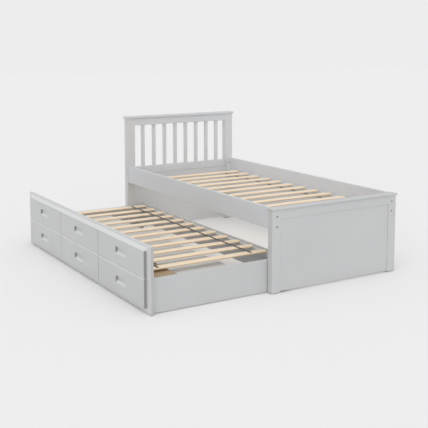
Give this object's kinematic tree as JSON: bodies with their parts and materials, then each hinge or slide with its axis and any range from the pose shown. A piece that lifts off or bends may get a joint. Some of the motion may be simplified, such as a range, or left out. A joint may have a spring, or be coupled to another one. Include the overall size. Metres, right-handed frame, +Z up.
{
  "type": "trundle bed",
  "caption": "Painted single bed with a spindle headboard and a roll-out trundle that carries a second slatted deck and storage drawers.",
  "frame": {"origin": "On the floor, in the middle of the whole object with its trundle pulled out and its drawers shut.", "axes": "+X runs from the headboard to the footboard, +Y from the trundle's side towards the wall side, +Z is up."},
  "size_m": [2.016, 1.788, 0.904],
  "materials": {
    "grey_paint": "satin light grey paint on pine",
    "slat_wood": "sanded pale softwood, unfinished",
    "raw_wood": "raw plywood and battens",
    "grey_liner": "light grey foil on thin board",
    "webbing": "woven charcoal webbing",
    "zinc_steel": "zinc-plated pressed steel",
    "bolt_steel": "dark zinc-plated fasteners",
    "castor_plastic": "moulded nylon wheel",
    "glide_plastic": "moulded glide on a nail"
  },
  "bodies": {
    "root": {"back_panel": "grey_paint", "barrel_nuts": "bolt_steel", "bed_slats": "slat_wood", "bed_webbing": "webbing", "block_screws": "bolt_steel", "corner_blocks": "grey_paint", "foot_cap": "grey_paint", "foot_panel": "grey_paint", "foot_post_back": "grey_paint", "foot_post_front": "grey_paint", "foot_top_rail": "grey_paint", "head_cap": "grey_paint", "head_middle_rail": "grey_paint", "head_panel": "grey_paint", "head_post_back": "grey_paint", "head_post_front": "grey_paint", "head_spindles": "grey_paint", "head_top_rail": "grey_paint", "post_glides": "glide_plastic", "rail_bolts": "bolt_steel", "side_rail_back": "grey_paint", "side_rail_front": "grey_paint", "slat_ledges": "grey_paint"},
    "trundle": {"castor_axles": "bolt_steel", "castor_brackets": "zinc_steel", "drawer_dividers": "grey_liner", "dust_panel": "grey_liner", "false_face_foot": "grey_paint", "false_face_head": "grey_paint", "false_face_middle": "grey_paint", "front_stretcher": "raw_wood", "slide_channels": "zinc_steel", "slide_cleats": "raw_wood", "trundle_back_ledge": "grey_paint", "trundle_back_rail": "grey_paint", "trundle_bottom_rail": "grey_paint", "trundle_end_foot": "grey_paint", "trundle_end_head": "grey_paint", "trundle_front_board": "grey_paint", "trundle_front_ledge": "raw_wood", "trundle_moulding": "grey_paint", "trundle_slats": "slat_wood", "trundle_uprights": "grey_paint", "trundle_webbing": "webbing"},
    "drawer_head": {"drawer_head_bottom": "grey_liner", "drawer_head_box": "grey_liner", "drawer_head_face": "grey_paint", "drawer_head_slides": "zinc_steel"},
    "drawer_middle": {"drawer_middle_bottom": "grey_liner", "drawer_middle_box": "grey_liner", "drawer_middle_face": "grey_paint", "drawer_middle_slides": "zinc_steel"},
    "drawer_foot": {"drawer_foot_bottom": "grey_liner", "drawer_foot_box": "grey_liner", "drawer_foot_face": "grey_paint", "drawer_foot_slides": "zinc_steel"},
    "wheel_head_front": {"wheel_head_front": "castor_plastic"},
    "wheel_head_back": {"wheel_head_back": "castor_plastic"},
    "wheel_foot_front": {"wheel_foot_front": "castor_plastic"},
    "wheel_foot_back": {"wheel_foot_back": "castor_plastic"}
  },
  "joints": [
    {"name": "trundle_roll", "type": "slide", "parent": "root", "child": "trundle", "axis": [0, 1, 0], "range_m": [-0.25, 0.767]},
    {"name": "drawer_head_slide", "type": "slide", "parent": "trundle", "child": "drawer_head", "axis": [0, -1, 0], "range_m": [0, 0.38]},
    {"name": "drawer_middle_slide", "type": "slide", "parent": "trundle", "child": "drawer_middle", "axis": [0, -1, 0], "range_m": [0, 0.38]},
    {"name": "drawer_foot_slide", "type": "slide", "parent": "trundle", "child": "drawer_foot", "axis": [0, -1, 0], "range_m": [0, 0.38]},
    {"name": "wheel_head_front_spin", "type": "hinge", "parent": "trundle", "child": "wheel_head_front", "pos_m": [-0.919, -0.798, 0.025], "axis": [1, 0, 0], "continuous": true},
    {"name": "wheel_head_back_spin", "type": "hinge", "parent": "trundle", "child": "wheel_head_back", "pos_m": [-0.919, -0.023, 0.025], "axis": [1, 0, 0], "continuous": true},
    {"name": "wheel_foot_front_spin", "type": "hinge", "parent": "trundle", "child": "wheel_foot_front", "pos_m": [0.919, -0.798, 0.025], "axis": [1, 0, 0], "continuous": true},
    {"name": "wheel_foot_back_spin", "type": "hinge", "parent": "trundle", "child": "wheel_foot_back", "pos_m": [0.919, -0.023, 0.025], "axis": [1, 0, 0], "continuous": true}
  ],
  "couplings": [
    {"joint": "wheel_head_front_spin", "follows": "trundle_roll", "rad_per_m": -40},
    {"joint": "wheel_head_back_spin", "follows": "trundle_roll", "rad_per_m": -40},
    {"joint": "wheel_foot_front_spin", "follows": "trundle_roll", "rad_per_m": -40},
    {"joint": "wheel_foot_back_spin", "follows": "trundle_roll", "rad_per_m": -40}
  ]
}
